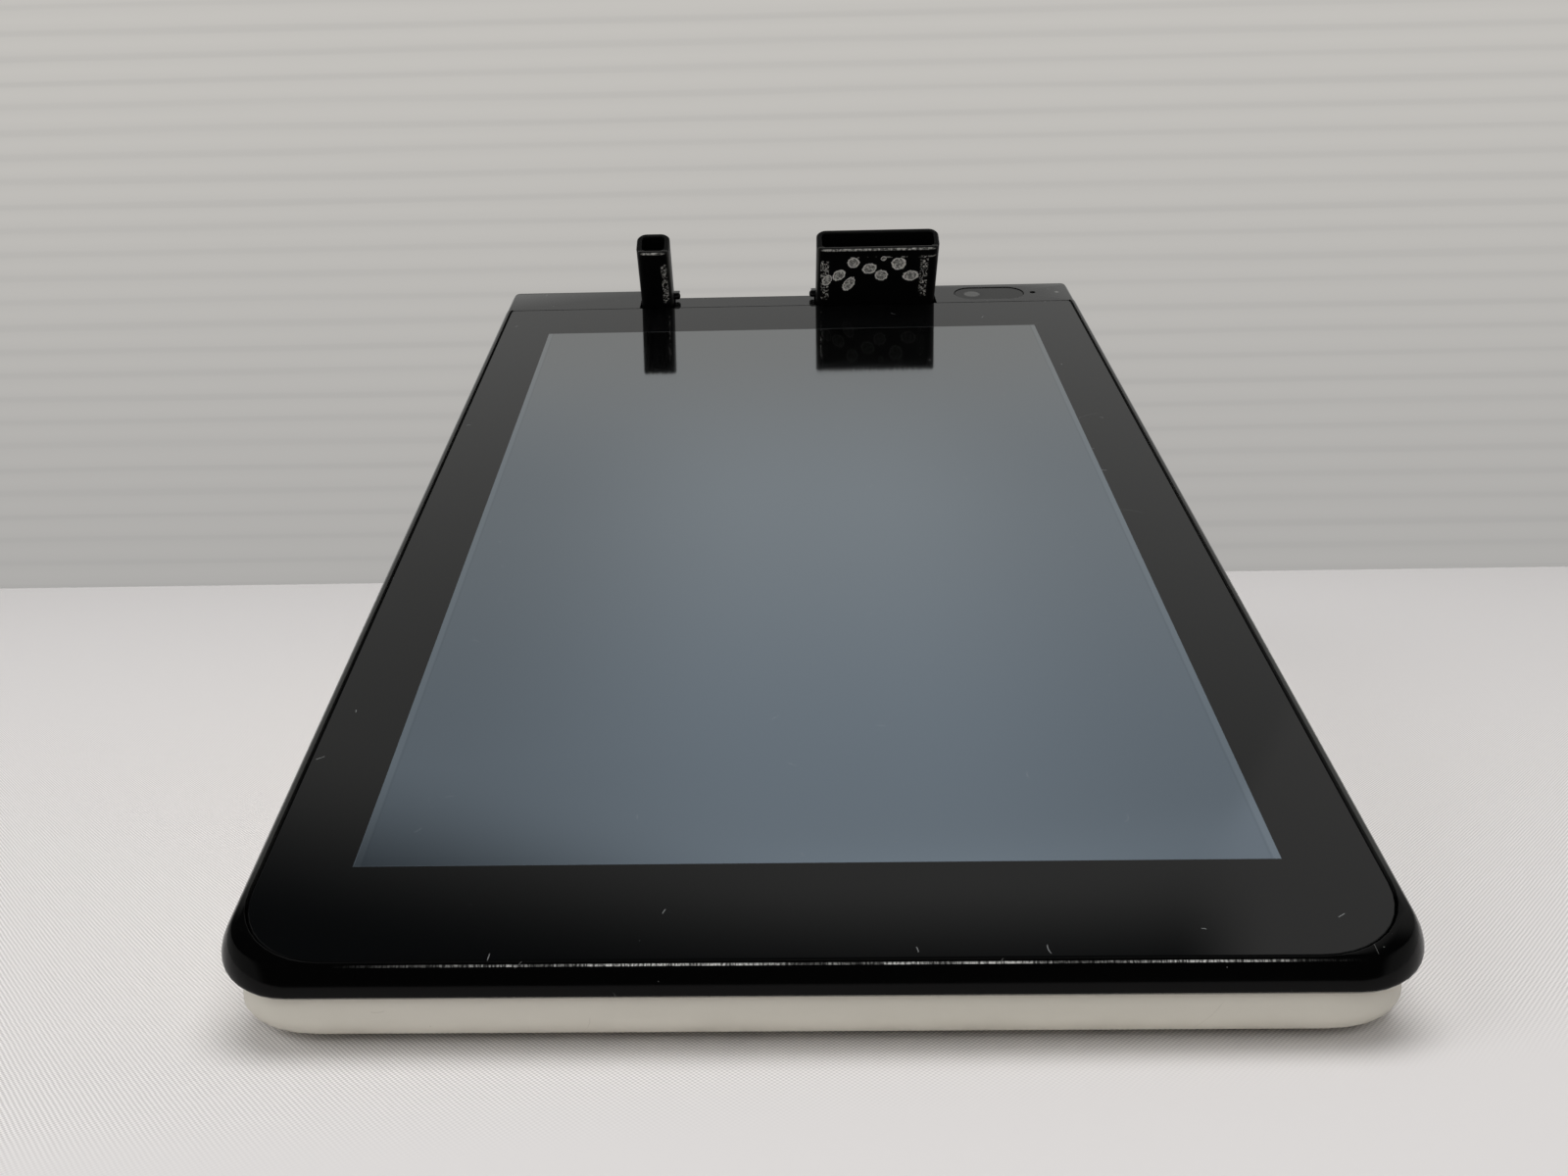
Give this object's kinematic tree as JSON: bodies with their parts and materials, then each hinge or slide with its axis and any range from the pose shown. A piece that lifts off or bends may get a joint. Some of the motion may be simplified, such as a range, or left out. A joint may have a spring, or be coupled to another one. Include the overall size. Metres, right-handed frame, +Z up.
{
  "type": "payment terminal",
  "caption": "Counter payment terminal with a sloping touch screen, hollow posts on its top strip, a rear customer screen, a chip card slot and a receipt printer bay.",
  "frame": {"origin": "on the table, under the middle of the object's box", "axes": "+X to the seller's right, +Y away from the seller towards the customer, +Z up"},
  "size_m": [0.1168, 0.2454, 0.0968],
  "materials": {
    "ivory_plastic": "off-white fine-textured moulding",
    "black_gloss_plastic": "polished black moulding",
    "screen_glass": "black printed cover glass",
    "strip_gloss": "dark glossy strip",
    "post_black": "black moulding with worn edges",
    "lens_glass": "smoked camera window",
    "dark_plastic": "dark grey moulding",
    "sheet_steel": "plain sheet and bar steel",
    "circuit_board": "green circuit board",
    "display_panel": "display panel, switched off",
    "rubber": "matte black rubber",
    "thermal_paper": "wound white receipt paper",
    "battery_wrap": "dark shrink wrap",
    "head_ceramic": "glazed ceramic on a heat sink",
    "roll_core_plastic": "grey paper core"
  },
  "bodies": {
    "housing": {"base_plate": "dark_plastic", "base_screw_1": "sheet_steel", "base_screw_2": "sheet_steel", "base_screw_3": "sheet_steel", "base_screw_4": "sheet_steel", "battery_pack": "battery_wrap", "camera_module": "dark_plastic", "camera_window": "lens_glass", "card_slot_surround": "black_gloss_plastic", "chip_reader": "dark_plastic", "cover_hinge_pin": "sheet_steel", "customer_board": "circuit_board", "customer_frame": "black_gloss_plastic", "customer_glass": "screen_glass", "customer_lcd": "display_panel", "dock_contacts": "dark_plastic", "foot_1": "rubber", "foot_2": "rubber", "foot_3": "rubber", "foot_4": "rubber", "front_frame": "black_gloss_plastic", "lcd_panel": "display_panel", "main_board": "circuit_board", "narrow_post": "post_black", "paper_bucket": "dark_plastic", "print_head": "head_ceramic", "printer_bracket": "sheet_steel", "screen_chassis": "sheet_steel", "shield_can_1": "sheet_steel", "shield_can_2": "sheet_steel", "side_button_board": "circuit_board", "speaker": "dark_plastic", "tear_bar": "sheet_steel", "top_strip": "strip_gloss", "touch_glass": "screen_glass", "usb_socket": "sheet_steel", "wedge_housing": "ivory_plastic", "wide_post": "post_black"},
    "cover": {"paper_cover": "ivory_plastic"},
    "platen": {"platen_roller": "rubber", "platen_shaft": "sheet_steel"},
    "roll": {"paper_roll": "thermal_paper", "roll_core": "roll_core_plastic"},
    "release": {"release_button": "dark_plastic"},
    "power": {"power_button": "dark_plastic"},
    "volume": {"volume_rocker": "dark_plastic"}
  },
  "joints": [
    {"name": "paper_cover_hinge", "type": "hinge", "parent": "housing", "child": "cover", "pos_m": [0, 0.09607, 0.0812], "axis": [-1, 0, 0], "range_deg": [0, 85]},
    {"name": "platen_spin", "type": "hinge", "parent": "cover", "child": "platen", "pos_m": [0, 0.06137, 0.0764], "axis": [1, 0, 0], "continuous": true},
    {"name": "paper_roll_spin", "type": "hinge", "parent": "housing", "child": "roll", "pos_m": [0, 0.07817, 0.0563], "axis": [1, 0, 0], "continuous": true},
    {"name": "release_button_press", "type": "slide", "parent": "housing", "child": "release", "axis": [0, 0, -1], "range_m": [0, 0.0012], "stiffness_N_per_m": 400, "springref_m": -0.0003},
    {"name": "power_button_press", "type": "slide", "parent": "housing", "child": "power", "axis": [-1, 0, 0], "range_m": [0, 0.0004], "stiffness_N_per_m": 2500, "springref_m": -0.00005},
    {"name": "volume_rocker_tip", "type": "hinge", "parent": "housing", "child": "volume", "pos_m": [0.0551, -0.0099, 0.04565], "axis": [0, -0.4147, 0.91], "range_deg": [-1.1, 1.1], "stiffness_Nm_per_rad": 0.15}
  ]
}
